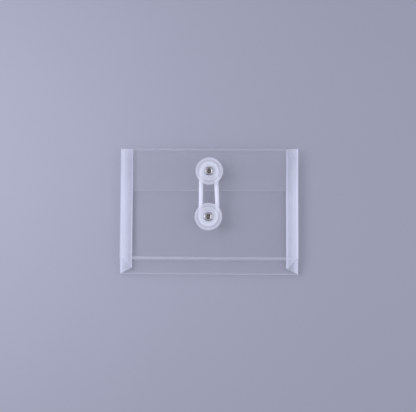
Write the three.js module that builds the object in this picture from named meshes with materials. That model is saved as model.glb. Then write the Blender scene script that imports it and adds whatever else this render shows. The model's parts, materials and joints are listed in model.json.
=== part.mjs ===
// Clear plastic document case with a cord-and-button closure, closed and lying on its back.
// Millimetres. X runs across the case, +Y points to the top fold, +Z is up, and the back
// panel lies on z = 0. The origin is the middle of the case's footprint.
import * as THREE from 'three';

// Case outline.
const CASE_WIDTH = 130;
const CASE_HEIGHT = 92.4;
const FILM = 0.2;
const POCKET_GAP = 5.2; // between the two panels' inner faces
const BOTTOM_GUSSET_DEPTH = 11.7; // score line to bottom fold, seen from the front
const MOUTH_Y = 40.9; // free top edge of the front panel
const FLAP_EDGE_Y = 14.8; // free lower edge of the flap
const FLAP_WIDTH = 111.8;
const FLAP_CORNER_RADIUS = 1.5;
const FLAP_CLEARANCE = 0.8; // front panel's face to the flap, room for the rivet's back
const FOLD_GAP = 0.5; // from a crease's axis to the edge of the film that turns about it

// Side gussets: each is a strip of frosted film, creased once and folded inwards.
const GUSSET_LEAF = 8.6;
const GUSSET_AXIS_INSET = 0.4; // from the case's outer edge
const GUSSET_AXIS_LIFT = 0.25; // off the panel's inner face
const GUSSET_TOP_Y = 45.9;
const GUSSET_INNER_END = 6.6; // how far the strip's inner fold runs on below the score line
const FRONT_LEAF_SHORTFALL = 1.3; // keeps the front leaf's edge off the rear leaf at the fold
const DIAGONAL_SLOPE = 0.95; // side leaf's width per height at its diagonal lower end
const DIAGONAL_START = 0.9;
const CORNER_TOP = 0.9; // the strip's lower end on the bottom gusset, measured from the score line
const CORNER_OUTER_END = 10.2;
const CORNER_INNER_END = 6.9;
const CORNER_WIDTH = 7.9;
const CORNER_FILM = 0.16;
const CORNER_GAP = 0.05;
const SEAM_WIDTH = 0.95;
const SEAM_FILM = 0.16;
const SEAM_GAP = 0.02;

// Closure: two riveted buttons of equal size and one elastic cord loop round their posts.
const UPPER_BUTTON = [0.2, 28.8];
const LOWER_BUTTON = [-0.25, -4.15];
const DISC_RADIUS = 10;
const DISC_THICKNESS = 1;
const DISC_SEAT = 0.9; // height of the rivet flange's seat above the disc's underside
const POST_RADIUS = 3.5;
const POST_FLANGE_RADIUS = 4;
const POST_HEIGHT = 4.4;
const WASHER_RADIUS = 4.5;
const WASHER_THICKNESS = 0.3;
const RIVET_HOLE_RADIUS = 1.9;
const RIVET_OUTER_RADIUS = 1.6;
const RIVET_BORE_RADIUS = 1.25;
const RIVET_BORE_DEPTH = 4.5; // blind, open at the disc's side
const STACK_GAP = 0.02; // between pieces that the rivet clamps
const DISC_GAP = 0.1; // lets the disc turn on its post
const CORD_RADIUS = 1.6;
const CORD_Z = 8.3;

// Centre line of the cord, anticlockwise from the right of the upper post.
const CORD_ROUTE = [
  [5.65, 28.8], [4.15, 32.75], [0.2, 34.3], [-3.75, 32.75], [-5.35, 28.8], [-5.75, 22],
  [-5.8, 12.7], [-5.8, 3.4], [-5.75, -4.2], [-4.15, -8.1], [-0.25, -9.7], [3.65, -8.1],
  [5.35, -4.2], [6.0, 3.4], [5.75, 12.7], [5.35, 21.5],
];

// Facets.
const ROUND_STEPS = 48;
const SMALL_ROUND_STEPS = 32;
const CORNER_STEPS = 5;
const CORD_SIDES = 8;
const CORD_STEPS = 72;

// Sizes that follow from the ones above.
const HALF_WIDTH = CASE_WIDTH / 2;
const HALF_HEIGHT = CASE_HEIGHT / 2;
const SCORE_Y = BOTTOM_GUSSET_DEPTH - HALF_HEIGHT;
const FRONT_Z = FILM + POCKET_GAP;
const FLAP_Z = FRONT_Z + FILM + FLAP_CLEARANCE;
const CREASE_Y = HALF_HEIGHT - FILM / 2;
const GUSSET_AXIS_X = HALF_WIDTH - GUSSET_AXIS_INSET;
const GUSSET_ANGLE = Math.asin((POCKET_GAP / 2 - GUSSET_AXIS_LIFT) / GUSSET_LEAF);
const BOTTOM_HALF_RISE = (POCKET_GAP + FILM) / 2;
const BOTTOM_LEAF = Math.hypot(BOTTOM_GUSSET_DEPTH, BOTTOM_HALF_RISE);
const BOTTOM_ANGLE = Math.atan2(BOTTOM_HALF_RISE, BOTTOM_GUSSET_DEPTH);

const clearFilm = { color: 0xe6ebf2, roughness: 0.12, metalness: 0 };
const frostedFilm = { color: 0xf4f6fa, roughness: 0.45, metalness: 0 };
const milkyPlastic = { color: 0xe9edf5, roughness: 0.3, metalness: 0 };
const nickel = { color: 0xc9cbce, roughness: 0.22, metalness: 1 };
const whiteElastic = { color: 0xf7f8fb, roughness: 0.8, metalness: 0 };

function piece(name, geometry, finish) {
  const mesh = new THREE.Mesh(geometry, new THREE.MeshStandardMaterial(finish));
  mesh.name = name;
  return mesh;
}

// A flat outline through corners given as [x, y] or [x, y, radius].
function outline(corners) {
  const shape = new THREE.Shape();
  corners.forEach(([x, y, radius = 0], index) => {
    const [beforeX, beforeY] = corners.at(index - 1);
    const [afterX, afterY] = corners[(index + 1) % corners.length];
    const corner = new THREE.Vector2(x, y);
    const start = new THREE.Vector2(beforeX, beforeY).sub(corner).setLength(radius).add(corner);
    const end = new THREE.Vector2(afterX, afterY).sub(corner).setLength(radius).add(corner);
    if (index === 0) shape.moveTo(start.x, start.y);
    else shape.lineTo(start.x, start.y);
    if (radius > 0) shape.quadraticCurveTo(x, y, end.x, end.y);
  });
  return shape;
}

function rectangle(x0, y0, x1, y1) {
  return outline([[x0, y0], [x1, y0], [x1, y1], [x0, y1]]);
}

function punchRivetHole(shape, [x, y]) {
  shape.holes.push(new THREE.Path().absarc(x, y, RIVET_HOLE_RADIUS, 0, 2 * Math.PI));
}

// A flat sheet whose underside is at local height z.
function sheet(shape, z, thickness = FILM, curveSegments = CORNER_STEPS) {
  const geometry = new THREE.ExtrudeGeometry(shape, {
    depth: thickness,
    bevelEnabled: false,
    curveSegments,
  });
  return geometry.translate(0, 0, z);
}

// A body of revolution about Z from [radius, height] points. A profile that starts and ends on
// the axis is closed by the axis, and any other profile is closed on itself.
function turned(profile, steps) {
  const points = profile.map(([radius, height]) => new THREE.Vector2(radius, height));
  if (points[0].x > 0) points.push(points[0].clone());
  return new THREE.LatheGeometry(points, steps).rotateX(Math.PI / 2);
}

// Panels, flap and the spine that joins them along the top fold.
function makeWrap() {
  const group = new THREE.Group();
  const panelEnd = SCORE_Y + FOLD_GAP;
  const back = rectangle(-HALF_WIDTH, panelEnd, HALF_WIDTH, CREASE_Y - FOLD_GAP);
  group.add(piece('back_panel', sheet(back, 0), clearFilm));

  const front = rectangle(-HALF_WIDTH, panelEnd, HALF_WIDTH, MOUTH_Y);
  punchRivetHole(front, LOWER_BUTTON);
  group.add(piece('front_panel', sheet(front, FRONT_Z, FILM, SMALL_ROUND_STEPS), clearFilm));

  const halfFlap = FLAP_WIDTH / 2;
  const flap = outline([
    [-halfFlap, FLAP_EDGE_Y, FLAP_CORNER_RADIUS],
    [halfFlap, FLAP_EDGE_Y, FLAP_CORNER_RADIUS],
    [halfFlap, CREASE_Y - FOLD_GAP],
    [-halfFlap, CREASE_Y - FOLD_GAP],
  ]);
  punchRivetHole(flap, UPPER_BUTTON);
  group.add(piece('flap', sheet(flap, FLAP_Z, FILM, SMALL_ROUND_STEPS), clearFilm));

  const spineBottom = FILM / 2 + FOLD_GAP;
  const spineTop = FLAP_Z + FILM / 2 - FOLD_GAP;
  const spine = new THREE.BoxGeometry(FLAP_WIDTH, FILM, spineTop - spineBottom);
  spine.translate(0, CREASE_Y, (spineBottom + spineTop) / 2);
  group.add(piece('top_spine', spine, clearFilm));
  return group;
}

// Bottom gusset: two leaves folded outwards, and the frosted strips' ends welded inside them.
function makeBottomGusset() {
  const group = new THREE.Group();
  for (const [place, axisZ, turn, leafEnd] of [
    ['rear', FILM / 2, -1, BOTTOM_LEAF - CORNER_GAP],
    ['front', FRONT_Z + FILM / 2, 1, BOTTOM_LEAF - FRONT_LEAF_SHORTFALL],
  ]) {
    const hinge = new THREE.Group();
    hinge.position.set(0, SCORE_Y, axisZ);
    hinge.rotation.x = turn * BOTTOM_ANGLE;
    const leaf = rectangle(-HALF_WIDTH, -leafEnd, HALF_WIDTH, -FOLD_GAP);
    hinge.add(piece(`bottom_gusset_${place}`, sheet(leaf, -FILM / 2), clearFilm));
    for (const [side, sign] of [['left', -1], ['right', 1]]) {
      const corner = outline([
        [sign * GUSSET_AXIS_X, -CORNER_TOP],
        [sign * GUSSET_AXIS_X, -CORNER_OUTER_END],
        [sign * (GUSSET_AXIS_X - CORNER_WIDTH), -CORNER_INNER_END],
      ]);
      const inside = turn < 0 ? FILM / 2 + CORNER_GAP : -FILM / 2 - CORNER_GAP - CORNER_FILM;
      hinge.add(piece(`${side}_corner_${place}`, sheet(corner, inside, CORNER_FILM), frostedFilm));
    }
    group.add(hinge);
  }
  return group;
}

// Side gusset on one side: rear leaf, front leaf and the two welded seams.
function makeSideGusset(side, sign) {
  const group = new THREE.Group();
  for (const [place, panelZ, turn, leafEnd] of [
    ['rear', FILM, 1, GUSSET_LEAF - CORNER_GAP],
    ['front', FRONT_Z, -1, GUSSET_LEAF - FRONT_LEAF_SHORTFALL],
  ]) {
    const hinge = new THREE.Group();
    hinge.position.set(sign * GUSSET_AXIS_X, 0, panelZ + turn * GUSSET_AXIS_LIFT);
    hinge.rotation.y = sign * turn * GUSSET_ANGLE;
    const inward = (distance) => -sign * distance;
    const diagonalEnd = DIAGONAL_START + DIAGONAL_SLOPE * GUSSET_INNER_END;
    const leaf = outline([
      [inward(FOLD_GAP), GUSSET_TOP_Y],
      [inward(FOLD_GAP), SCORE_Y + FOLD_GAP],
      [inward(DIAGONAL_START + FOLD_GAP), SCORE_Y - FOLD_GAP],
      [inward(diagonalEnd), SCORE_Y - GUSSET_INNER_END],
      [inward(leafEnd), SCORE_Y - GUSSET_INNER_END],
      [inward(leafEnd), GUSSET_TOP_Y],
    ]);
    hinge.add(piece(`${side}_gusset_${place}`, sheet(leaf, -FILM / 2), frostedFilm));
    group.add(hinge);

    const seamEnd = place === 'rear' ? GUSSET_TOP_Y - FOLD_GAP : MOUTH_Y;
    const seamLength = seamEnd - SCORE_Y - FOLD_GAP;
    const seam = new THREE.BoxGeometry(SEAM_WIDTH, seamLength, SEAM_FILM);
    seam.translate(
      sign * (HALF_WIDTH - SEAM_WIDTH / 2),
      seamEnd - seamLength / 2,
      panelZ + turn * (SEAM_GAP + SEAM_FILM / 2),
    );
    group.add(piece(`${side}_${place}_seam`, seam, frostedFilm));
  }
  return group;
}

// One button on a film whose underside is at height filmZ: washer, post, disc and rivet.
function makeButton(name, [x, y], filmZ) {
  const group = new THREE.Group();
  group.position.set(x, y, 0);
  const washerZ = filmZ - STACK_GAP - WASHER_THICKNESS;
  const postZ = filmZ + FILM + STACK_GAP;
  const discZ = postZ + POST_HEIGHT + DISC_GAP;

  const washer = turned([
    [RIVET_HOLE_RADIUS, washerZ],
    [WASHER_RADIUS, washerZ],
    [WASHER_RADIUS, washerZ + WASHER_THICKNESS],
    [RIVET_HOLE_RADIUS, washerZ + WASHER_THICKNESS],
  ], SMALL_ROUND_STEPS);
  group.add(piece(`${name}_backing_washer`, washer, milkyPlastic));

  const flangeHeight = 0.4;
  const post = turned([
    [RIVET_HOLE_RADIUS, postZ],
    [POST_FLANGE_RADIUS, postZ],
    [POST_FLANGE_RADIUS, postZ + flangeHeight],
    [POST_RADIUS, postZ + 2 * flangeHeight],
    [POST_RADIUS, postZ + POST_HEIGHT - 2 * flangeHeight],
    [POST_FLANGE_RADIUS, postZ + POST_HEIGHT - flangeHeight],
    [POST_FLANGE_RADIUS, postZ + POST_HEIGHT],
    [RIVET_HOLE_RADIUS, postZ + POST_HEIGHT],
  ], SMALL_ROUND_STEPS);
  group.add(piece(`${name}_post`, post, milkyPlastic));

  // The disc's face has two shallow ring grooves and a seat for the rivet's flange.
  const face = discZ + DISC_THICKNESS;
  const grooveFloor = face - 0.28;
  const innerFloor = face - 0.2;
  const disc = turned([
    [RIVET_HOLE_RADIUS, discZ],
    [DISC_RADIUS - 0.4, discZ],
    [DISC_RADIUS, discZ + 0.35],
    [DISC_RADIUS, face - 0.3],
    [DISC_RADIUS - 0.3, face],
    [8.3, face],
    [8.05, grooveFloor],
    [7.15, grooveFloor],
    [6.9, face],
    [6.05, face],
    [5.85, innerFloor],
    [4.85, innerFloor],
    [4.65, face],
    [3.6, face],
    [3.4, discZ + DISC_SEAT],
    [RIVET_HOLE_RADIUS, discZ + DISC_SEAT],
  ], ROUND_STEPS);
  group.add(piece(`${name}_disc`, disc, milkyPlastic));

  // Semi-tubular rivet: solid head behind the washer, blind bore, flange rolled over the disc.
  const head = washerZ - 0.03;
  const seat = discZ + DISC_SEAT + 0.05;
  const rivet = turned([
    [0, head - 0.33],
    [2.2, head - 0.33],
    [2.5, head - 0.15],
    [2.4, head],
    [RIVET_OUTER_RADIUS, head],
    [RIVET_OUTER_RADIUS, seat],
    [3.0, seat],
    [3.1, seat + 0.2],
    [2.7, seat + 0.48],
    [2.0, seat + 0.55],
    [1.5, seat + 0.38],
    [RIVET_BORE_RADIUS, seat - 0.1],
    [RIVET_BORE_RADIUS, seat - RIVET_BORE_DEPTH],
    [0, seat - RIVET_BORE_DEPTH],
  ], SMALL_ROUND_STEPS);
  group.add(piece(`${name}_rivet`, rivet, nickel));
  return group;
}

// The endless cord: a torus whose ring is bent to the route, one step per ring section.
function makeCord() {
  const points = CORD_ROUTE.map(([x, y]) => new THREE.Vector3(x, y, CORD_Z));
  const route = new THREE.CatmullRomCurve3(points, true);
  const geometry = new THREE.TorusGeometry(1, CORD_RADIUS, CORD_SIDES, CORD_STEPS);
  const position = geometry.attributes.position;
  const vertex = new THREE.Vector3();
  for (let index = 0; index < position.count; index += 1) {
    const step = (index % (CORD_STEPS + 1)) % CORD_STEPS;
    const centre = route.getPointAt(step / CORD_STEPS);
    const tangent = route.getTangentAt(step / CORD_STEPS);
    vertex.fromBufferAttribute(position, index);
    const outward = Math.hypot(vertex.x, vertex.y) - 1;
    position.setXYZ(
      index,
      centre.x + outward * tangent.y,
      centre.y - outward * tangent.x,
      centre.z + vertex.z,
    );
  }
  geometry.computeVertexNormals();
  return piece('closure_cord', geometry, whiteElastic);
}

const documentCase = new THREE.Group();
documentCase.add(makeWrap());
documentCase.add(makeBottomGusset());
documentCase.add(makeSideGusset('left', -1));
documentCase.add(makeSideGusset('right', 1));
documentCase.add(makeButton('upper', UPPER_BUTTON, FLAP_Z));
documentCase.add(makeButton('lower', LOWER_BUTTON, FRONT_Z));
documentCase.add(makeCord());

export default documentCase;
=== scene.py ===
"""Looks of a clear document case with frosted gussets and a cord-and-button closure.

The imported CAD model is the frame. Every shown piece is made here, in the CAD's places, and rides
on its CAD body. Lengths are millimetres until a mesh, light or camera is made.
"""
import json
import math

import bpy
import numpy as np
from mathutils import Matrix, Vector


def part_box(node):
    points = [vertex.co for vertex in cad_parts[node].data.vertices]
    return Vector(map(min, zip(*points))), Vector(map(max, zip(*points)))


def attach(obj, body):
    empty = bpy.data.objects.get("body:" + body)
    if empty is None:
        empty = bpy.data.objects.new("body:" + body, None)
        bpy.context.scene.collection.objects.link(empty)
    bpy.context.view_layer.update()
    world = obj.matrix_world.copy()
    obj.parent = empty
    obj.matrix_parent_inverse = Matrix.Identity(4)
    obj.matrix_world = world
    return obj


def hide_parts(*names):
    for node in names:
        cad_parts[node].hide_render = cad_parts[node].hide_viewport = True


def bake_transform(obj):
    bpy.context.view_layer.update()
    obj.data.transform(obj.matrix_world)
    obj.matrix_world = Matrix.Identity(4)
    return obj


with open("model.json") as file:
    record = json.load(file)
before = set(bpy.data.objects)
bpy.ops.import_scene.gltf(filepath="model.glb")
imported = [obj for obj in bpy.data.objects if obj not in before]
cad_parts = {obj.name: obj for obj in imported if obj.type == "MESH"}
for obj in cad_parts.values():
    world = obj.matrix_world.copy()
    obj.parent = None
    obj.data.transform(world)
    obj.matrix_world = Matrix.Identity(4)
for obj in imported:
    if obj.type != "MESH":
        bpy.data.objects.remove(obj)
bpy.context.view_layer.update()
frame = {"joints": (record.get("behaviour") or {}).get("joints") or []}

MM = 0.001


def corners_of(node):
    """Lowest and highest corner of a CAD node, in millimetres."""
    low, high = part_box(node)
    return np.array(low) / MM, np.array(high) / MM


def joint_place(name):
    """A joint's place, in millimetres."""
    joint = next(j for j in frame["joints"] if j["name"] == name)
    return np.array(joint["pos_m"]) / MM


# ---------------------------------------------------------------- sizes read from the frame
BACK_LOW, BACK_HIGH = corners_of("back_panel")
FRONT_LOW, FRONT_HIGH = corners_of("front_panel")
FLAP_LOW, FLAP_HIGH = corners_of("flap")
FILM = BACK_HIGH[2] - BACK_LOW[2]
HALF_WIDTH = BACK_HIGH[0]
HALF_FLAP = FLAP_HIGH[0]
BACK_MID = (BACK_LOW[2] + BACK_HIGH[2]) / 2
FRONT_MID = (FRONT_LOW[2] + FRONT_HIGH[2]) / 2
FLAP_MID = (FLAP_LOW[2] + FLAP_HIGH[2]) / 2
FLAP_EDGE = FLAP_LOW[1]
MOUTH = FRONT_HIGH[1]
TOP_CREASE = joint_place("spine_fold")[1]
SCORE = joint_place("bottom_gusset_back_fold")[1]
BOTTOM_FOLD = joint_place("bottom_gusset_middle_fold")
SIDE_FOLD = joint_place("right_gusset_middle_fold")
SIDE_REAR_AXIS = joint_place("right_gusset_back_fold")
SIDE_FRONT_AXIS_Z = joint_place("front_lift")[2]
STRIP_TOP = corners_of("left_gusset_rear")[1][1]
SPINE_MIDDLE = (BACK_MID + FLAP_MID) / 2
SIDE_LEAF = math.hypot(SIDE_REAR_AXIS[0] - SIDE_FOLD[0], SIDE_FOLD[2] - SIDE_REAR_AXIS[2])
BOTTOM_LEAF = math.hypot(BOTTOM_FOLD[1] - SCORE, BOTTOM_FOLD[2] - BACK_MID)
UPPER_BUTTON = joint_place("loop_swivel")[:2]
LOWER_BUTTON = joint_place("lower_disc_spin")[:2]

# The cord's centre line, anticlockwise from the right of the upper post, as in the CAD model.
CORD_ROUTE = [
    (5.65, 28.8), (4.15, 32.75), (0.2, 34.3), (-3.75, 32.75), (-5.35, 28.8), (-5.75, 22),
    (-5.8, 12.7), (-5.8, 3.4), (-5.75, -4.2), (-4.15, -8.1), (-0.25, -9.7), (3.65, -8.1),
    (5.35, -4.2), (6.0, 3.4), (5.75, 12.7), (5.35, 21.5),
]
CORD_Z = joint_place("loop_swivel")[2]
CORD_RADIUS = 1.6


# ---------------------------------------------------------------- camera
def add_camera():
    """Looks down on the case from slightly towards its bottom edge and right side."""
    target = Vector((-0.8, 3.9, 4.0)) * MM
    distance = 0.516
    tilt = math.radians(3.3)
    yaw = math.radians(1.6)
    roll = math.radians(0.3)
    camera = bpy.data.objects.new("camera", bpy.data.cameras.new("camera"))
    back = Vector((math.sin(yaw), -math.sin(tilt), math.cos(tilt))).normalized()
    right = Vector((0, 1, 0)).cross(back).normalized()
    turn = Matrix((right, back.cross(right), back)).transposed()
    camera.location = target + distance * back
    camera.rotation_euler = (turn @ Matrix.Rotation(roll, 3, "Z")).to_euler()
    camera.data.lens = 61.0
    camera.data.sensor_width = 36.0
    camera.data.clip_start = 0.01
    bpy.context.collection.objects.link(camera)
    bpy.context.scene.camera = camera


add_camera()


# ---------------------------------------------------------------- material nodes
class Shader:
    """A small wrapper that adds nodes to one material and links them."""

    def __init__(self, name):
        self.material = bpy.data.materials.new(name)
        self.material.use_nodes = True
        self.nodes = self.material.node_tree.nodes
        self.links = self.material.node_tree.links
        self.nodes.clear()

    def node(self, kind, settings=None, **inputs):
        """Adds a node; an input is a plain value or another node's output."""
        node = self.nodes.new(kind)
        for key, value in (settings or {}).items():
            setattr(node, key, value)
        for key, value in inputs.items():
            self.put(node.inputs[key.replace("_", " ")], value)
        return node

    def put(self, socket, value):
        if isinstance(value, bpy.types.NodeSocket):
            self.links.new(value, socket)
        else:
            socket.default_value = value

    def math(self, operation, *values, clamp=False):
        node = self.nodes.new("ShaderNodeMath")
        node.operation = operation
        node.use_clamp = clamp
        for socket, value in zip(node.inputs, values):
            self.put(socket, value)
        return node.outputs[0]

    def mix(self, share, first, second):
        node = self.nodes.new("ShaderNodeMixShader")
        self.put(node.inputs[0], share)
        self.put(node.inputs[1], first.outputs[0])
        self.put(node.inputs[2], second.outputs[0])
        return node

    def place(self):
        """The piece's own coordinates, so that a pattern moves with it."""
        return self.node("ShaderNodeTexCoord").outputs["Object"]

    def noise(self, scale, detail=3.0, roughness=0.5, where=None):
        node = self.node("ShaderNodeTexNoise", Scale=scale, Detail=detail, Roughness=roughness)
        self.put(node.inputs["Vector"], where or self.place())
        return node.outputs["Fac"]

    def range(self, value, low, high, from_low=0.0, from_high=1.0):
        node = self.nodes.new("ShaderNodeMapRange")
        self.put(node.inputs["Value"], value)
        for key, number in (
            ("From Min", from_low), ("From Max", from_high), ("To Min", low), ("To Max", high),
        ):
            node.inputs[key].default_value = number
        return node.outputs["Result"]

    def bump(self, height, strength, distance):
        node = self.node("ShaderNodeBump", Strength=strength, Distance=distance)
        self.put(node.inputs["Height"], height)
        return node.outputs["Normal"]

    def attribute(self, name):
        return self.node("ShaderNodeAttribute", {"attribute_name": name}).outputs["Fac"]

    def sheen_share(self, straight, grazing):
        """Share of light that a smooth surface reflects, rising towards grazing angles."""
        facing = self.node("ShaderNodeLayerWeight", Blend=0.5).outputs["Facing"]
        return self.math("MULTIPLY_ADD", self.math("POWER", facing, 4.0), grazing, straight)

    def finish(self, shader):
        """Links the shader to the material's output and returns the material."""
        output = self.nodes.new("ShaderNodeOutputMaterial")
        self.links.new(shader.outputs[0], output.inputs["Surface"])
        return self.material


def make_clear_film():
    """Clear polypropylene: nearly all light passes, with a little haze and a soft gloss."""
    s = Shader("clear_film")
    # The whitening attribute adds haze; on creases, folds, the flap's free edge and over the flap
    # it is painted highlight and painted reflection.
    haze = s.math(
        "MULTIPLY_ADD", s.attribute("whiten"), 0.5, s.range(s.noise(90.0, 4.0), 0.004, 0.016),
        clamp=True,
    )
    normal = s.bump(s.noise(35.0, 2.0), 0.25, 0.0004)
    clear = s.node("ShaderNodeBsdfTransparent", Color=(0.99, 0.99, 0.991, 1))
    milk = s.node("ShaderNodeBsdfDiffuse", Color=(0.93, 0.93, 0.94, 1))
    gloss = s.node("ShaderNodeBsdfGlossy", Color=(1, 1, 1, 1), Roughness=0.12, Normal=normal)
    body = s.mix(haze, clear, milk)
    return s.finish(s.mix(s.sheen_share(0.03, 0.6), body, gloss))


def make_score_film():
    """Clear film pressed into a fine knurl, cloudy on the bumps."""
    s = Shader("score_film")
    haze = s.math(
        "MULTIPLY_ADD", s.attribute("whiten"), 0.13, s.range(s.noise(300.0, 3.0), 0.0, 0.05),
        clamp=True,
    )
    clear = s.node("ShaderNodeBsdfTransparent", Color=(0.99, 0.99, 0.99, 1))
    milk = s.node("ShaderNodeBsdfDiffuse", Color=(0.93, 0.93, 0.94, 1))
    gloss = s.node("ShaderNodeBsdfGlossy", Color=(1, 1, 1, 1), Roughness=0.3)
    return s.finish(s.mix(s.sheen_share(0.02, 0.4), s.mix(haze, clear, milk), gloss))


def make_film_edge():
    """Cut and creased edges of the clear film, where it gathers light."""
    s = Shader("film_edge")
    clear = s.node("ShaderNodeBsdfTransparent", Color=(0.97, 0.975, 0.98, 1))
    milk = s.node("ShaderNodeBsdfDiffuse", Color=(0.93, 0.94, 0.97, 1))
    gloss = s.node("ShaderNodeBsdfGlossy", Color=(1, 1, 1, 1), Roughness=0.25)
    share = s.range(s.noise(160.0, 2.0), 0.25, 0.5)
    body = s.mix(share, clear, milk)
    return s.finish(s.mix(s.sheen_share(0.06, 0.7), body, gloss))


def make_frosted_film():
    """Frosted polypropylene: scatters most light; welds are whiter, and the whiter edges and folds
    are painted highlights.
    """
    s = Shader("frosted_film")
    grain = s.noise(1400.0, 2.0, 0.6)
    cloud = s.noise(60.0, 3.0)
    normal = s.bump(grain, 0.3, 0.00006)
    whiten = s.attribute("whiten")
    share = s.math(
        "MULTIPLY_ADD", whiten, 0.65, s.range(cloud, 0.12, 0.18), clamp=True
    )
    clear = s.node("ShaderNodeBsdfTransparent", Color=(0.98, 0.985, 0.99, 1))
    front = s.node("ShaderNodeBsdfDiffuse", Color=(0.965, 0.97, 0.99, 1), Normal=normal)
    through = s.node("ShaderNodeBsdfTranslucent", Color=(0.965, 0.97, 0.99, 1), Normal=normal)
    gloss = s.node("ShaderNodeBsdfGlossy", Color=(1, 1, 1, 1), Roughness=0.42, Normal=normal)
    scatter = s.mix(0.15, front, through)
    body = s.mix(share, clear, scatter)
    return s.finish(s.mix(s.sheen_share(0.035, 0.3), body, gloss))


def make_milky_plastic():
    """Translucent moulded plastic of the buttons."""
    s = Shader("milky_plastic")
    swirl = s.noise(180.0, 4.0, 0.6)
    normal = s.bump(s.noise(700.0, 3.0), 0.2, 0.00008)
    # Clearer in the thinner outer groove and round the rivet, where it paints shade at the rivet's
    # foot; milkier over the cord, where it paints a brighter band.
    share = s.math(
        "MULTIPLY_ADD", s.attribute("clarity_and_painted_light"), -0.2, s.range(swirl, 0.34, 0.4), clamp=True
    )
    clear = s.node("ShaderNodeBsdfTransparent", Color=(0.985, 0.987, 0.99, 1))
    front = s.node("ShaderNodeBsdfDiffuse", Color=(1, 1, 0.99, 1), Normal=normal)
    through = s.node("ShaderNodeBsdfTranslucent", Color=(1, 1, 0.99, 1), Normal=normal)
    gloss = s.node("ShaderNodeBsdfGlossy", Color=(1, 1, 1, 1), Roughness=0.22, Normal=normal)
    scatter = s.mix(0.1, front, through)
    body = s.mix(share, clear, scatter)
    return s.finish(s.mix(s.sheen_share(0.04, 0.4), body, gloss))


def make_nickel():
    """Bright nickel plate with fine drawn scratches."""
    s = Shader("nickel")
    scratches = s.noise(2600.0, 3.0, 0.7)
    # The dark tone is painted light: painted dark reflections on the top and bottom arcs of the
    # rolled flange, painted shade round the bore's mouth and a painted darker left side.
    tone = s.node("ShaderNodeMix", {"data_type": "RGBA"})
    s.put(tone.inputs["Factor"], s.attribute("painted_shade_and_reflection"))
    tone.inputs["A"].default_value = (0.7, 0.68, 0.63, 1)
    tone.inputs["B"].default_value = (0.09, 0.085, 0.075, 1)
    shader = s.node(
        "ShaderNodeBsdfPrincipled",
        Base_Color=tone.outputs["Result"],
        Metallic=1.0,
        Roughness=s.range(scratches, 0.25, 0.42),
        Normal=s.bump(scratches, 0.15, 0.00003),
    )
    return s.finish(shader)


def make_bore():
    """Unplated metal down the rivet's bore, dull and dark."""
    s = Shader("rivet_bore")
    grime = s.noise(1800.0, 3.0, 0.6)
    tone = s.node("ShaderNodeMix", {"data_type": "RGBA"})
    s.put(tone.inputs["Factor"], grime)
    tone.inputs["A"].default_value = (0.62, 0.6, 0.56, 1)
    tone.inputs["B"].default_value = (0.85, 0.82, 0.78, 1)
    shader = s.node(
        "ShaderNodeBsdfPrincipled", Base_Color=tone.outputs["Result"], Metallic=0.2, Roughness=0.6
    )
    return s.finish(shader)


def make_elastic():
    """White braided elastic."""
    s = Shader("elastic_cord")
    fibres = s.noise(5200.0, 3.0, 0.7)
    # Painted shade: the tone is darker and bluer down the braid's furrows between strands.
    tone = s.node("ShaderNodeMix", {"data_type": "RGBA"})
    s.put(tone.inputs["Factor"], s.attribute("painted_furrow_shade"))
    tone.inputs["A"].default_value = (0.97, 0.97, 0.96, 1)
    tone.inputs["B"].default_value = (0.8, 0.82, 0.86, 1)
    shader = s.node(
        "ShaderNodeBsdfPrincipled",
        Base_Color=tone.outputs["Result"],
        Roughness=0.82,
        Normal=s.bump(fibres, 0.5, 0.00006),
    )
    shader.inputs["Sheen Weight"].default_value = 0.25
    shader.inputs["Subsurface Weight"].default_value = 0.7
    shader.inputs["Subsurface Radius"].default_value = (1.0, 1.0, 1.0)
    shader.inputs["Subsurface Scale"].default_value = 0.0015
    return s.finish(shader)


def make_table():
    """Smooth pale grey-blue table top."""
    s = Shader("table")
    tone = s.node("ShaderNodeMix", {"data_type": "RGBA"})
    s.put(tone.inputs["Factor"], s.noise(9.0, 4.0))
    tone.inputs["A"].default_value = (0.425, 0.428, 0.452, 1)
    tone.inputs["B"].default_value = (0.445, 0.448, 0.473, 1)
    shader = s.node(
        "ShaderNodeBsdfPrincipled",
        Base_Color=tone.outputs["Result"],
        Roughness=0.75,
        Normal=s.bump(s.noise(900.0, 2.0), 0.05, 0.0001),
    )
    return s.finish(shader)


CLEAR = make_clear_film()
EDGE = make_film_edge()
FROSTED = make_frosted_film()
MILKY = make_milky_plastic()
NICKEL = make_nickel()
BORE = make_bore()
ELASTIC = make_elastic()
SCORED = make_score_film()
TABLE = make_table()


# ---------------------------------------------------------------- meshes
def add_mesh(name, points, faces, materials, face_materials=None, sharp_angle=40.0):
    """A smooth-shaded mesh object from points in millimetres."""
    mesh = bpy.data.meshes.new(name)
    mesh.from_pydata([tuple(p * MM) for p in np.asarray(points, float)], [], faces)
    for material in materials:
        mesh.materials.append(material)
    if face_materials is not None:
        mesh.polygons.foreach_set("material_index", face_materials)
    mesh.polygons.foreach_set("use_smooth", [True] * len(mesh.polygons))
    mesh.validate()
    mesh.update()
    mesh.set_sharp_from_angle(angle=math.radians(sharp_angle))
    item = bpy.data.objects.new(name, mesh)
    bpy.context.collection.objects.link(item)
    return item


def set_attribute(item, name, values):
    """Stores one number per vertex for the materials to read."""
    attribute = item.data.attributes.new(name, "FLOAT", "POINT")
    attribute.data.foreach_set("value", np.asarray(values, np.float32))


def grid_normals(grid):
    """Unit normals of a grid of points, rows by columns."""
    along = np.gradient(grid, axis=0)
    across = np.gradient(grid, axis=1)
    normal = np.cross(across, along)
    return normal / np.linalg.norm(normal, axis=2, keepdims=True)


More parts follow.
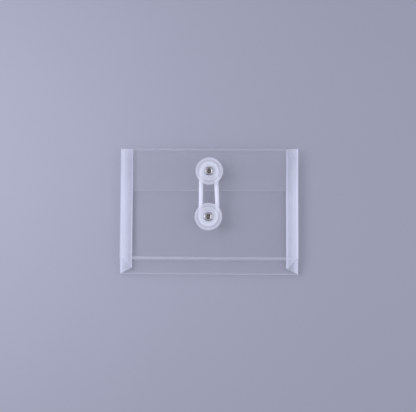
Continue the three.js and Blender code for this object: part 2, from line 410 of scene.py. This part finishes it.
def film(name, grid, material, rim, thickness=FILM, keep=None, whiten=None):
    """A film of even thickness whose middle surface is a grid of points."""
    rows, columns = grid.shape[:2]
    if keep is None:
        keep = np.ones((rows - 1, columns - 1), bool)
    normal = grid_normals(grid) * thickness / 2
    points = np.concatenate([(grid + normal).reshape(-1, 3), (grid - normal).reshape(-1, 3)])
    under = rows * columns
    faces, kinds, edge_count = [], [], {}
    for r, c in zip(*np.nonzero(keep)):
        a = r * columns + c
        ring = [a, a + 1, a + columns + 1, a + columns]
        faces.append(ring)
        faces.append([under + v for v in reversed(ring)])
        kinds += [0, 0]
        for start, end in zip(ring, ring[1:] + ring[:1]):
            key = (min(start, end), max(start, end))
            edge_count.setdefault(key, []).append((start, end))
    for uses in edge_count.values():
        if len(uses) == 1:
            start, end = uses[0]
            faces.append([end, start, under + start, under + end])
            kinds.append(1)
    used = np.unique([v for face in faces for v in face])
    place = np.full(len(points), -1)
    place[used] = np.arange(len(used))
    faces = [[int(place[v]) for v in face] for face in faces]
    item = add_mesh(name, points[used], faces, [material, rim], kinds)
    if whiten is not None:
        both = np.concatenate([whiten.reshape(-1), whiten.reshape(-1)])
        set_attribute(item, "whiten", both[used])
    return item


def rounded(corners, steps=4):
    """Points of a closed outline of (x, y, radius) corners, each corner rounded."""
    points = []
    for index, (x, y, radius) in enumerate(corners):
        here = np.array([x, y], float)
        if radius == 0:
            points.append(here)
            continue
        before = np.array(corners[index - 1][:2]) - here
        after = np.array(corners[(index + 1) % len(corners)][:2]) - here
        start = here + before / np.linalg.norm(before) * radius
        end = here + after / np.linalg.norm(after) * radius
        for t in np.linspace(0, 1, steps):
            points.append((1 - t) ** 2 * start + 2 * t * (1 - t) * here + t * t * end)
    return points


def turned(name, centre, profile, material, steps=96, shape=None):
    """A body of revolution about a vertical axis, from a (radius, height) outline.

    The outline closes on itself, or starts and ends on the axis.
    """
    on_axis = profile[0][0] == 0
    rings = profile[1:-1] if on_axis else profile
    points = []
    for angle in np.arange(steps) / steps * 2 * math.pi:
        for radius, height in rings:
            if shape:
                radius, height = shape(angle, radius, height)
            points.append([
                centre[0] + radius * math.cos(angle),
                centre[1] + radius * math.sin(angle),
                height,
            ])
    count = len(rings)
    first, last = len(points), len(points) + 1
    if on_axis:
        points += [[centre[0], centre[1], profile[0][1]], [centre[0], centre[1], profile[-1][1]]]
    faces = []
    for i in range(steps):
        here, beside = i * count, (i + 1) % steps * count
        if on_axis:
            faces.append([first, beside, here])
        for j in range(count if not on_axis else count - 1):
            k = (j + 1) % count
            faces.append([here + j, beside + j, beside + k, here + k])
        if on_axis:
            faces.append([here + count - 1, beside + count - 1, last])
    return add_mesh(name, points, faces, [material])


def spaced(start, end, step):
    """Evenly spaced numbers from start to end, about a step apart."""
    return np.linspace(start, end, max(2, round(abs(end - start) / step) + 1))


def wave(x, y, seed):
    """Gentle unevenness of a film, between about -1 and 1."""
    total = 0
    for index in range(4):
        a = math.sin(seed * 1.7 + index * 2.3) * 0.09 + 0.02
        b = math.cos(seed * 2.9 + index * 1.9) * 0.08
        total = total + np.sin(a * x + b * y + seed + index * 1.3)
    return total / 4


# ---------------------------------------------------------------- clear wrap
CREASE_RADIUS = 1.0
PANEL_COLUMNS = np.unique(np.concatenate([
    spaced(-HALF_WIDTH, -HALF_FLAP, 1.8),
    spaced(-HALF_FLAP, HALF_FLAP, 1.9),
    spaced(HALF_FLAP, HALF_WIDTH, 1.8),
]))
FLAP_COLUMNS = spaced(-HALF_FLAP, HALF_FLAP, 1.6)


def section_grid(columns, section):
    """Grid from a list of (y, z) points swept along X."""
    grid = np.zeros((len(section), len(columns), 3))
    grid[:, :, 0] = columns[None, :]
    for row, (y, z) in enumerate(section):
        grid[row, :, 1] = y
        grid[row, :, 2] = z
    return grid


def arc(centre, radius, start, end, steps=8):
    """(y, z) points on an arc; angles in degrees from +Y towards +Z."""
    angles = np.radians(np.linspace(start, end, steps + 1))
    return [(centre[0] + radius * math.cos(a), centre[1] + radius * math.sin(a)) for a in angles]


def make_back():
    """Back panel, its top crease and the lower half of the spine."""
    flat = [(y, BACK_MID) for y in spaced(SCORE + 0.9, TOP_CREASE - CREASE_RADIUS, 3.0)]
    turn = arc((TOP_CREASE - CREASE_RADIUS, BACK_MID + CREASE_RADIUS), CREASE_RADIUS, -90, 0)
    rise = [(TOP_CREASE, z) for z in spaced(BACK_MID + CREASE_RADIUS, SPINE_MIDDLE, 0.8)]
    grid = section_grid(PANEL_COLUMNS, flat + turn[1:] + rise[1:])
    middle = (PANEL_COLUMNS[:-1] + PANEL_COLUMNS[1:]) / 2
    keep = np.ones((grid.shape[0] - 1, grid.shape[1] - 1), bool)
    keep[len(flat) - 1:, np.abs(middle) > HALF_FLAP] = False
    # Painted highlight: the crease and the spine are whitened where the fold catches the light.
    whiten = np.zeros(grid.shape[:2])
    whiten[len(flat):] = 0.1
    item = film("back_film", grid, CLEAR, EDGE, keep=keep, whiten=whiten)
    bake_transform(item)
    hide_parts("back_panel")


def make_flap():
    """Upper half of the spine, the front crease and the flap with its rounded lower corners."""
    corner = 1.5
    rise = [(TOP_CREASE, z) for z in spaced(SPINE_MIDDLE, FLAP_MID - CREASE_RADIUS, 0.8)]
    turn = arc((TOP_CREASE - CREASE_RADIUS, FLAP_MID - CREASE_RADIUS), CREASE_RADIUS, 0, 90)
    flat_start = TOP_CREASE - CREASE_RADIUS
    flat = [(y, FLAP_MID) for y in spaced(flat_start, FLAP_EDGE + corner, 1.6)]
    lip = [(y, FLAP_MID) for y in spaced(FLAP_EDGE + corner, FLAP_EDGE, 0.3)]
    columns = np.unique(np.concatenate([
        FLAP_COLUMNS,
        spaced(-HALF_FLAP, -HALF_FLAP + corner, 0.25),
        spaced(HALF_FLAP - corner, HALF_FLAP, 0.25),
    ]))
    grid = section_grid(columns, rise + turn[1:] + flat[1:] + lip[1:])
    into_corner = np.clip(np.abs(columns) - (HALF_FLAP - corner), 0, corner)
    lift = 0.94 * (corner - np.sqrt(corner ** 2 - into_corner ** 2))
    first_lip = grid.shape[0] - len(lip)
    for row in range(first_lip, grid.shape[0]):
        share = (FLAP_EDGE + corner - grid[row, 0, 1]) / corner
        grid[row, :, 1] += lift * share
    x, y = grid[:, :, 0], grid[:, :, 1]
    free = np.clip((flat_start - y) / (flat_start - FLAP_EDGE), 0, 1)
    grid[:, :, 2] += 0.12 * free * wave(x, y, 3) + 0.25 * np.clip(free - 0.9, 0, 1) * 2.0
    bend_rows = len(rise) + len(turn) - 1
    # Painted light: a slight whitening over the whole flap for the light its film reflects, and
    # painted highlights along the crease and the free edge.
    whiten = np.full(grid.shape[:2], 0.045)
    whiten[len(rise):bend_rows] = 0.17
    whiten[-2:] = 0.2
    item = film("flap_film", grid, CLEAR, EDGE, whiten=whiten)
    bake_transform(item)
    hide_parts("flap", "top_spine")


def make_front():
    """Front panel, from the score line to the free edge at the mouth."""
    rows = [(y, FRONT_MID) for y in spaced(SCORE + 0.3, MOUTH, 2.0)]
    grid = section_grid(PANEL_COLUMNS, rows)
    x, y = grid[:, :, 0], grid[:, :, 1]
    inside = np.clip((HALF_WIDTH - np.abs(x)) / 12, 0, 1) * np.clip((y - SCORE) / 12, 0, 1)
    grid[:, :, 2] += 0.16 * inside * wave(x, y, 5)
    item = film("front_film", grid, CLEAR, EDGE)
    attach(item, "front")
    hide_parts("front_panel")


def leaf_point(distance, front):
    """(y, z) on a bottom gusset leaf at a distance from its score line."""
    share = distance / BOTTOM_LEAF
    z = FRONT_MID if front else BACK_MID
    return (SCORE + (BOTTOM_FOLD[1] - SCORE) * share, z + (BOTTOM_FOLD[2] - z) * share)


def make_bottom():
    """Bottom gusset: the rear leaf from the back's score line, then the fold and front leaf."""
    turn_at = BOTTOM_LEAF - 0.8
    rear = [(SCORE + 0.9, BACK_MID), (SCORE + 0.5, BACK_MID), (SCORE + 0.15, BACK_MID + 0.01)]
    rear += [leaf_point(u, False) for u in spaced(0.25, turn_at, 0.9)]
    item = film("bottom_rear_film", section_grid(PANEL_COLUMNS, rear), CLEAR, EDGE)
    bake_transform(item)
    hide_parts("bottom_gusset_rear")

    low, high = leaf_point(turn_at, False), leaf_point(turn_at, True)
    half_gap = (high[1] - low[1]) / 2
    nose = [
        (low[0] - (low[0] - BOTTOM_FOLD[1]) * math.sin(a), BOTTOM_FOLD[2] - half_gap * math.cos(a))
        for a in np.linspace(0, math.pi, 9)
    ]
    front = nose + [leaf_point(u, True) for u in spaced(turn_at, 0.15, 0.9)][1:]
    grid = section_grid(PANEL_COLUMNS, front)
    # Painted highlight: the fold's nose is whitened where it catches the light.
    whiten = np.zeros(grid.shape[:2])
    whiten[:len(nose)] = 0.12
    item = film("bottom_front_film", grid, CLEAR, EDGE, whiten=whiten)
    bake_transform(item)
    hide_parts("bottom_gusset_front")


def make_score(name, body, z, up):
    """Knurled score line pressed into the film where the bottom gusset begins."""
    half, middle, pitch = 1.25, SCORE + 0.2, 1.5
    columns = spaced(-HALF_WIDTH + 9.0, HALF_WIDTH - 1.0, 0.3)
    across = spaced(middle + half, middle - half, 0.22)
    grid = section_grid(columns, [(y, z) for y in across])
    x, y = grid[:, :, 0], grid[:, :, 1]
    swell = np.clip(1 - ((y - middle) / half) ** 2, 0, 1)
    knurl = np.sin(x * 2 * math.pi / pitch)
    grid[:, :, 2] += up * swell * (0.12 + 0.09 * knurl)
    item = film(
        name, grid, SCORED, SCORED, thickness=0.1,
        whiten=np.clip(swell * 1.6, 0, 1) * (0.6 + 0.4 * knurl),
    )
    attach(item, body)


make_back()
make_flap()
make_front()
make_bottom()
make_score("front_score_line", "front", FRONT_HIGH[2] + 0.06, 1)
make_score("rear_score_line", "back", BACK_HIGH[2] + 0.06, 1)


# ---------------------------------------------------------------- frosted gussets
STRIP_FILM = 0.16
STRIP_BELLY = 0.22
FOLD_BEND = 0.7
STRIP_WAVINESS = 0.08
WELD_FILM = 0.12
CORNER_FILM = 0.1

# Below the score line a strip's lower edge runs down on a slant towards the inner fold.
STRIP_SLANT_START = 0.9
STRIP_SLANT = 0.95
STRIP_INNER_END = 6.6

# The folded lower end of a strip, in distances below the score line.
CORNER_OUTER_END = 11.5
CORNER_INNER_END = 7.1
CORNER_START = 0.2
CORNER_OVERLAP = 0.4
CORNER_WIDTH = 8.3

# Lengths over which a strip gets clearer towards its top and its lower end.
CLEARER_TOP = 35
CLEARER_LOW_END = 12

# How cloudy a strip and its lower end are: distances from the outer edge, then cloudiness. Besides
# the frosting, the numbers paint light: whiter outer edges and inner folds as painted highlights,
# and brightness falling off across each strip, unlike on the two sides, as painted shade.
STRIP_FROST_AND_LIGHT = {
    "left": ([0.0, 0.8, 2.5, 7.3, 7.9, 8.6], [1.1, 1.2, 0.75, 0.12, 0.5, 0.5]),
    "right": ([0.0, 0.9, 1.4, 3.0, 4.6, 6.8, 7.6, 8.6], [1.2, 1.2, 0.55, 0.6, 0.4, 0.3, 0.8, 0.8]),
}
CORNER_FROST_AND_LIGHT = {
    "left": ([0.0, 0.8, 2.5, 8.3], [0.7, 0.7, 0.3, 0.0]),
    "right": ([0.0, 0.9, 3.4, 4.4, 6.6, 7.2, 8.3], [1.0, 0.8, 0.3, 0.0, 0.0, 0.3, 0.3]),
}


def strip_low_end(distance):
    """How far below the score line a side leaf reaches, at a distance from its outer edge."""
    return np.clip((distance - STRIP_SLANT_START) / STRIP_SLANT, 0.0, STRIP_INNER_END)


def make_strip(side, sign):
    """Side gusset: rear leaf, inner fold and front leaf as one creased strip."""
    distances = spaced(0, SIDE_LEAF - FOLD_BEND, 0.55)
    section, reach = [], []
    for s in distances:
        share = s / SIDE_LEAF
        x = SIDE_REAR_AXIS[0] + (SIDE_FOLD[0] - SIDE_REAR_AXIS[0]) * share
        belly = STRIP_BELLY * math.sin(math.pi * share)
        z = SIDE_REAR_AXIS[2] + (SIDE_FOLD[2] - SIDE_REAR_AXIS[2]) * share + belly
        section.append((x, z))
        reach.append(s)
    turn_x, turn_z = section[-1]
    middle = SIDE_FOLD[2]
    for a in np.linspace(0, math.pi, 9)[1:-1]:
        section.append((
            turn_x - (turn_x - SIDE_FOLD[0]) * math.sin(a),
            middle - (middle - turn_z) * math.cos(a),
        ))
        reach.append(SIDE_LEAF)
    mirror = [(x, 2 * middle - z) for x, z in section[:len(distances)]]
    section += mirror[::-1]
    reach += list(distances[::-1])
    reach = np.array(reach)
    rows = 44
    grid = np.zeros((rows, len(section), 3))
    for column, (x, z) in enumerate(section):
        low = SCORE - strip_low_end(reach[column])
        ys = np.linspace(STRIP_TOP, low, rows)
        grid[:, column, 0] = sign * x
        grid[:, column, 1] = ys
        grid[:, column, 2] = z
    sway = np.sin(np.clip(reach / SIDE_LEAF, 0, 1) * math.pi)
    grid[:, :, 2] += STRIP_WAVINESS * sway * wave(grid[:, :, 0], grid[:, :, 1], 7 + sign)
    near_top = np.clip(1 - (STRIP_TOP - grid[:, :, 1]) / CLEARER_TOP, 0, 1)
    near_low_end = np.clip(1 - (grid[:, :, 1] - SCORE) / CLEARER_LOW_END, 0, 1)
    # Frosting with painted light: painted highlights at the outer edge and inner fold, painted
    # shade across the middle.
    cloud = np.interp(reach, *STRIP_FROST_AND_LIGHT[side])
    whiten = cloud * (1 - 0.8 * near_top) * (1 - 0.1 * near_low_end)
    if sign > 0:
        grid, whiten = grid[:, ::-1], whiten[:, ::-1]
    item = film(
        f"{side}_gusset_film", grid, FROSTED, FROSTED, thickness=STRIP_FILM, whiten=whiten
    )
    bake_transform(item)
    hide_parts(f"{side}_gusset_rear", f"{side}_gusset_front")


def make_seam(side, sign, place, body, panel_z, turn, top):
    """Welded edge of a strip, pressed flat on a panel."""
    axis_z = SIDE_REAR_AXIS[2] if turn > 0 else SIDE_FRONT_AXIS_Z
    flat_z = panel_z + turn * 0.1
    section = [(HALF_WIDTH - 0.02, flat_z), (HALF_WIDTH - 0.2, flat_z)]
    section += [(SIDE_REAR_AXIS[0] + 0.08, flat_z + turn * 0.05), (SIDE_REAR_AXIS[0], axis_z)]
    rows = spaced(top, SCORE, 0.5)
    grid = np.zeros((len(rows), len(section), 3))
    for column, (x, z) in enumerate(section):
        grid[:, column, 0] = sign * x
        grid[:, column, 1] = rows
        grid[:, column, 2] = z
    if sign < 0:
        grid = grid[:, ::-1]
    whiten = np.full(grid.shape[:2], 0.9)
    item = film(
        f"{side}_{place}_weld", grid, FROSTED, FROSTED, thickness=WELD_FILM, whiten=whiten
    )
    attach(item, body)
    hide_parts(f"{side}_{place}_seam")


def make_corner(side, sign, front):
    """Folded lower end of a strip, lying inside one leaf of the bottom gusset."""
    place = "front" if front else "rear"
    turn = -1 if front else 1
    outer_x = SIDE_REAR_AXIS[0] + 0.3
    rows, columns = 12, 9
    grid = np.zeros((rows, columns, 3))
    for r, v in enumerate(np.linspace(0, 1, rows)):
        for c, h in enumerate(np.linspace(0, 1, columns)):
            upper = max(strip_low_end(CORNER_WIDTH * h) - CORNER_OVERLAP, CORNER_START)
            lower = CORNER_OUTER_END + (CORNER_INNER_END - CORNER_OUTER_END) * h
            u = upper + (lower - upper) * v
            y, z = leaf_point(u, front)
            x = outer_x - (CORNER_WIDTH + 0.3) * h
            grid[r, c] = (sign * x, y, z + turn * (FILM / 2 + 0.11))
    if sign < 0:
        grid = grid[:, ::-1]
    # Frosting with painted light: a painted highlight at the outer edge.
    cloud = np.interp(np.linspace(0, CORNER_WIDTH, columns), *CORNER_FROST_AND_LIGHT[side])
    whiten = np.broadcast_to(cloud[::-1] if sign < 0 else cloud, grid.shape[:2])
    item = film(
        f"{side}_corner_{place}_film", grid, FROSTED, FROSTED, thickness=CORNER_FILM, whiten=whiten
    )
    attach(item, "bottom_gusset_front_leaf" if front else "bottom_gusset_back_leaf")
    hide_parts(f"{side}_corner_{place}")


for side, sign in (("left", -1), ("right", 1)):
    make_strip(side, sign)
    make_seam(side, sign, "rear", "back", BACK_HIGH[2], 1, STRIP_TOP - 0.5)
    make_seam(side, sign, "front", "front", FRONT_LOW[2], -1, STRIP_TOP)
    make_corner(side, sign, False)
    make_corner(side, sign, True)


# ---------------------------------------------------------------- buttons
HOLE_RADIUS = 1.7
WASHER_RADIUS = 4.5
POST_RADIUS = 3.5
POST_FLANGE_RADIUS = 4.0
DISC_RADIUS = 10.0
OUTER_GROOVE = (7.15, 8.05)
OUTER_GROOVE_DEPTH = 0.28
INNER_GROOVE = (4.85, 5.85)
INNER_GROOVE_DEPTH = 0.2
RIVET_SEAT_RADIUS = 3.6
RIVET_SEAT_DEPTH = 0.1

BORE_RADIUS = 1.25
BORE_DEPTH = 4.5
SHANK_RADIUS = 1.6
RIVET_FLANGE_HEIGHT = 0.55
PETALS = 7


def make_button(which, centre, body):
    """Washer, post, disc and hollow rivet of one button, in the places of their CAD nodes."""
    low, high = corners_of(f"{which}_backing_washer")
    washer = rounded([
        (HOLE_RADIUS, low[2], 0), (WASHER_RADIUS, low[2], 0.1),
        (WASHER_RADIUS, high[2], 0.1), (HOLE_RADIUS, high[2], 0),
    ])
    item = turned(f"{which}_washer_moulding", centre, washer, MILKY, 64)
    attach(item, body)
    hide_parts(f"{which}_backing_washer")

    low, high = corners_of(f"{which}_post")
    base, top = low[2], high[2]
    post = rounded([
        (HOLE_RADIUS, base, 0), (POST_FLANGE_RADIUS, base, 0.12),
        (POST_FLANGE_RADIUS, base + 0.4, 0.15), (POST_RADIUS, base + 0.8, 0.3),
        (POST_RADIUS, top - 0.8, 0.3), (POST_FLANGE_RADIUS, top - 0.4, 0.15),
        (POST_FLANGE_RADIUS, top, 0.12), (HOLE_RADIUS, top, 0),
    ])
    item = turned(f"{which}_post_moulding", centre, post, MILKY, 64)
    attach(item, body)
    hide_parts(f"{which}_post")

    low, high = corners_of(f"{which}_disc")
    base, face = low[2], high[2]
    outer_floor, inner_floor = face - OUTER_GROOVE_DEPTH, face - INNER_GROOVE_DEPTH
    seat_floor = face - RIVET_SEAT_DEPTH
    disc = rounded([
        (HOLE_RADIUS, base, 0), (9.6, base, 0.3), (DISC_RADIUS, base + 0.35, 0.2),
        (DISC_RADIUS, face - 0.3, 0.2), (9.7, face, 0.2),
        (8.3, face, 0.1), (OUTER_GROOVE[1], outer_floor, 0.1),
        (OUTER_GROOVE[0], outer_floor, 0.1), (6.9, face, 0.1),
        (6.05, face, 0.1), (INNER_GROOVE[1], inner_floor, 0.08),
        (INNER_GROOVE[0], inner_floor, 0.08), (4.65, face, 0.1),
        (RIVET_SEAT_RADIUS, face, 0.1), (3.4, seat_floor, 0.05), (HOLE_RADIUS, seat_floor, 0),
    ])
    item = turned(f"{which}_disc_moulding", centre, disc, MILKY, 128)
    height = np.array([vertex.co.z for vertex in item.data.vertices]) / MM
    radius = np.array([np.hypot(*(np.array(v.co[:2]) / MM - centre)) for v in item.data.vertices])
    # The plastic lets more light through in the outer groove, where it is thinner, and round the
    # rivet, and less between them, over the cord. Round the rivet this paints shade at the rivet's
    # foot; over the cord it paints a brighter band where the cord shows through.
    groove = (radius > 7.05) & (radius < 8.2)
    over_cord = (radius > 4.0) & (radius < 7.05)
    sunk = np.clip((face - height) / 0.2, 0, 1)
    clarity_and_painted_light = np.select([groove, over_cord, radius < 3.8], [0.8 * sunk, -0.5, 0.4], 0.0)
    on_top = height > face - 0.32
    set_attribute(item, "clarity_and_painted_light", np.where(on_top, clarity_and_painted_light, 0))
    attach(item, f"{which}_button_disc")
    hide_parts(f"{which}_disc")

    make_rivet(which, centre, body)


def make_rivet(which, centre, body):
    """Semi-tubular nickel rivet: blind bore and a rolled flange split into short petals."""
    low, high = corners_of(f"{which}_rivet")
    back, top = low[2], high[2]
    seat = top - RIVET_FLANGE_HEIGHT
    floor = seat - BORE_DEPTH
    metal = rounded([
        (BORE_RADIUS, seat - 0.3, 0.1), (1.5, seat + 0.34, 0.16), (2.0, seat + 0.55, 0.25),
        (2.7, seat + 0.48, 0.25), (3.12, seat + 0.2, 0.12), (3.0, seat, 0.08),
        (SHANK_RADIUS, seat - 0.04, 0.06), (SHANK_RADIUS, back + 0.36, 0.06),
        (2.4, back + 0.33, 0.06), (2.5, back + 0.18, 0.12), (2.2, back, 0.2), (0, back, 0),
    ], 5)[::-1]
    bore = [
        (BORE_RADIUS, seat - 1.2), (1.22, seat - 3.0), (1.1, floor + 0.15),
        (0.8, floor), (0, floor),
    ]

    rolled_from = 1.9

    def split(angle, radius, height):
        """Notches the rolled flange between its petals and makes its edge uneven."""
        if height <= seat - 0.02 or radius < rolled_from:
            return radius, height
        wedge = abs(math.sin(angle * PETALS / 2 + 0.4))
        notch = max(0.0, 1 - wedge / 0.25)
        uneven = 0.07 * math.sin(2 * angle + 0.7) + 0.04 * math.sin(5 * angle)
        spread = (uneven - 0.3 * notch) * (radius - rolled_from)
        return radius + spread, height - 0.14 * notch

    profile = metal + bore
    item = turned(f"{which}_rivet_metal", centre, profile, NICKEL, 168, split)
    item.data.materials.append(BORE)
    around = np.array([vertex.co for vertex in item.data.vertices]) / MM - [*centre, 0]
    radius = np.hypot(around[:, 0], around[:, 1])
    upright = np.abs(around[:, 1]) / np.maximum(radius, 0.1)
    left = np.clip(-around[:, 0] / np.maximum(radius, 0.1), 0, 1)
    rolled = np.clip((radius - 2.3) / 0.5, 0, 1) * np.clip(upright * 1.6 - 0.5, 0, 1)
    lip = np.clip((1.5 + 0.7 * upright ** 2 - radius) / 0.25, 0, 1)
    # Painted dark reflections on the top and bottom of the rolled flange, painted shade round the
    # bore's mouth and a painted darker left side.
    set_attribute(item, "painted_shade_and_reflection", np.clip(0.85 * rolled + 0.75 * lip + 0.3 * left, 0, 1))
    # Faces follow the profile, so the last of each turn are the bore's.
    rows = len(profile) - 1
    first_dark = len(metal) - 1
    for polygon in item.data.polygons:
        if polygon.index % rows >= first_dark:
            polygon.material_index = 1
    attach(item, body)
    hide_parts(f"{which}_rivet")


make_button("upper", UPPER_BUTTON, "flap")
make_button("lower", LOWER_BUTTON, "front")


# ---------------------------------------------------------------- cord
def closed_curve(points, samples):
    """Evenly spaced points on a smooth closed curve through the given points."""
    knots = np.array(points, float)
    count = len(knots)
    fine = []
    for i in range(count):
        p0, p1, p2, p3 = (knots[(i + k) % count] for k in (-1, 0, 1, 2))
        for t in np.arange(0, 1, 0.02):
            fine.append(0.5 * (
                2 * p1 + (p2 - p0) * t + (2 * p0 - 5 * p1 + 4 * p2 - p3) * t ** 2
                + (3 * p1 - p0 - 3 * p2 + p3) * t ** 3
            ))
    fine.append(fine[0])
    fine = np.array(fine)
    length = np.concatenate([[0], np.cumsum(np.linalg.norm(np.diff(fine, axis=0), axis=1))])
    wanted = np.arange(samples) / samples * length[-1]
    x = np.interp(wanted, length, fine[:, 0])
    y = np.interp(wanted, length, fine[:, 1])
    return np.stack([x, y], axis=1), length[-1]


def make_cord():
    """Braided elastic loop: two sets of strands that wind opposite ways round the core."""
    sides, samples = 30, 640
    strands, braid_pitch = 6, 7.0
    centre, length = closed_curve(CORD_ROUTE, samples)
    tangent = np.roll(centre, -1, axis=0) - np.roll(centre, 1, axis=0)
    tangent /= np.linalg.norm(tangent, axis=1, keepdims=True)
    turns = round(length / braid_pitch)
    points, painted_furrow_shade = [], []
    for i in range(samples):
        along = i / samples * 2 * math.pi * turns
        for j in range(sides):
            angle = j / sides * 2 * math.pi
            one = abs(math.cos((strands * angle + along * strands / 2) / 2))
            two = abs(math.cos((strands * angle - along * strands / 2) / 2))
            height = max(one, two)
            radius = CORD_RADIUS * (0.93 + 0.07 * height)
            out = radius * math.cos(angle)
            points.append([
                centre[i, 0] + out * tangent[i, 1],
                centre[i, 1] - out * tangent[i, 0],
                CORD_Z + radius * math.sin(angle),
            ])
            # Painted shade, strongest down the middle of each furrow between strands.
            painted_furrow_shade.append((1 - height) * 1.6)
    faces = []
    for i in range(samples):
        nxt = (i + 1) % samples
        for j in range(sides):
            k = (j + 1) % sides
            faces.append([i * sides + j, i * sides + k, nxt * sides + k, nxt * sides + j])
    item = add_mesh("closure_cord_braid", points, faces, [ELASTIC], sharp_angle=180)
    set_attribute(item, "painted_furrow_shade", painted_furrow_shade)
    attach(item, "cord_loop")
    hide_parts("closure_cord")


make_cord()


# ---------------------------------------------------------------- studio
def make_studio():
    """Pale table, two soft lights and even daylight all round."""
    bpy.ops.mesh.primitive_plane_add(size=4.0, location=(0, 0, -0.0002))
    table = bpy.context.object
    table.name = "table"
    table.data.materials.append(TABLE)
    daylight = (0.775, 0.8, 1.0)
    for name, place, size, power in (
        ("softbox_left", (-0.3, 0.05, 0.31), 0.25, 0.78),
        ("softbox_right", (0.45, 0.0, 0.42), 0.3, 0.38),
    ):
        lamp = bpy.data.lights.new(name, "AREA")
        lamp.size = size
        lamp.energy = power
        lamp.color = daylight
        holder = bpy.data.objects.new(name, lamp)
        holder.location = place
        holder.rotation_euler = (-Vector(place)).to_track_quat("-Z", "Y").to_euler()
        bpy.context.collection.objects.link(holder)
    world = bpy.data.worlds.new("studio")
    world.use_nodes = True
    world.node_tree.nodes["Background"].inputs["Color"].default_value = (*daylight, 1)
    world.node_tree.nodes["Background"].inputs["Strength"].default_value = 0.69
    bpy.context.scene.world = world
    bpy.context.scene.view_settings.view_transform = "Standard"
    # A ray crosses many layers of film, and much of the light under a disc is scattered light.
    bpy.context.scene.cycles.transparent_max_bounces = 64
    bpy.context.scene.cycles.max_bounces = 16
    bpy.context.scene.cycles.diffuse_bounces = 12


make_studio()
